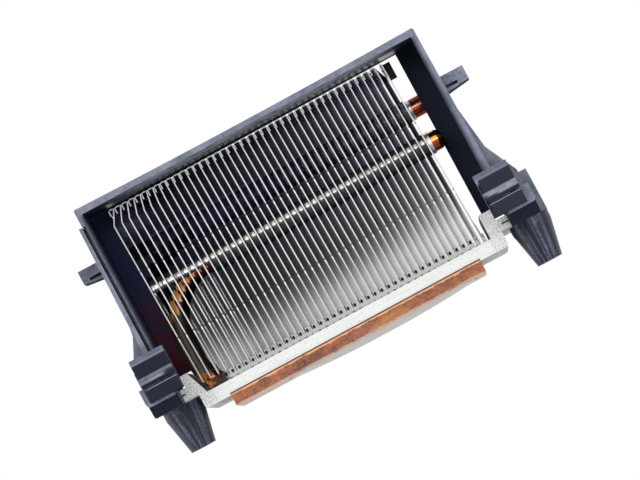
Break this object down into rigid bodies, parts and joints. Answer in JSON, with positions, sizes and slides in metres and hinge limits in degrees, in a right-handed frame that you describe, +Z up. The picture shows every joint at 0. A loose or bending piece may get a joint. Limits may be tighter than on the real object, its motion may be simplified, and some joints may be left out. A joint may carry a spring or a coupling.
{
  "type": "cpu heatsink",
  "caption": "Finned aluminium processor cooler with bent copper heat pipes, a copper contact slab and a black moulded duct frame with pin clips and screw towers.",
  "frame": {"origin": "midway between the two fixing holes, on the plane of the sleeve tips", "axes": "+X to the right seen from the frame's mouth, along the line of the fixing holes; +Y from the mouth to the rear; +Z up, away from the board"},
  "size_m": [0.1257, 0.0671, 0.075],
  "materials": {
    "frame_plastic": "black moulded plastic, faded grey on its front faces",
    "sawn_aluminium": "extruded aluminium with coarse saw-cut ends",
    "fin_aluminium": "thin rolled sheet, bright sheared edges",
    "milled_copper": "milled copper, mottled brown",
    "pipe_copper": "drawn copper tube, warm and lightly tarnished",
    "compound_grey": "pale grey contact compound",
    "zinc_steel": "zinc-plated steel"
  },
  "bodies": {
    "root": {"frame_moulding": "frame_plastic", "screw_sleeves": "frame_plastic", "base_extrusion": "sawn_aluminium", "copper_slab": "milled_copper", "heat_pipe_front": "pipe_copper", "heat_pipe_rear": "pipe_copper", "collar_sleeve_front": "fin_aluminium", "collar_sleeve_rear": "fin_aluminium", "captive_screws": "zinc_steel", "screw_springs": "zinc_steel", "fin_01": "fin_aluminium", "fin_02": "fin_aluminium", "fin_03": "fin_aluminium", "fin_04": "fin_aluminium", "fin_05": "fin_aluminium", "fin_06": "fin_aluminium", "fin_07": "fin_aluminium", "fin_08": "fin_aluminium", "fin_09": "fin_aluminium", "fin_10": "fin_aluminium", "fin_11": "fin_aluminium", "fin_12": "fin_aluminium", "fin_13": "fin_aluminium", "fin_14": "fin_aluminium", "fin_15": "fin_aluminium", "fin_16": "fin_aluminium", "fin_17": "fin_aluminium", "fin_18": "fin_aluminium", "fin_19": "fin_aluminium", "fin_20": "fin_aluminium", "fin_21": "fin_aluminium", "fin_22": "fin_aluminium", "fin_23": "fin_aluminium", "fin_24": "fin_aluminium", "fin_25": "fin_aluminium", "fin_26": "fin_aluminium", "fin_27": "fin_aluminium", "fin_28": "fin_aluminium", "fin_29": "fin_aluminium", "fin_30": "fin_aluminium", "fin_31": "fin_aluminium", "fin_32": "fin_aluminium", "fin_33": "fin_aluminium", "fin_34": "fin_aluminium", "fin_35": "fin_aluminium", "fin_36": "fin_aluminium", "fin_37": "fin_aluminium", "fin_38": "fin_aluminium", "fin_39": "fin_aluminium", "fin_40": "fin_aluminium", "fin_41": "fin_aluminium"}
  },
  "joints": []
}
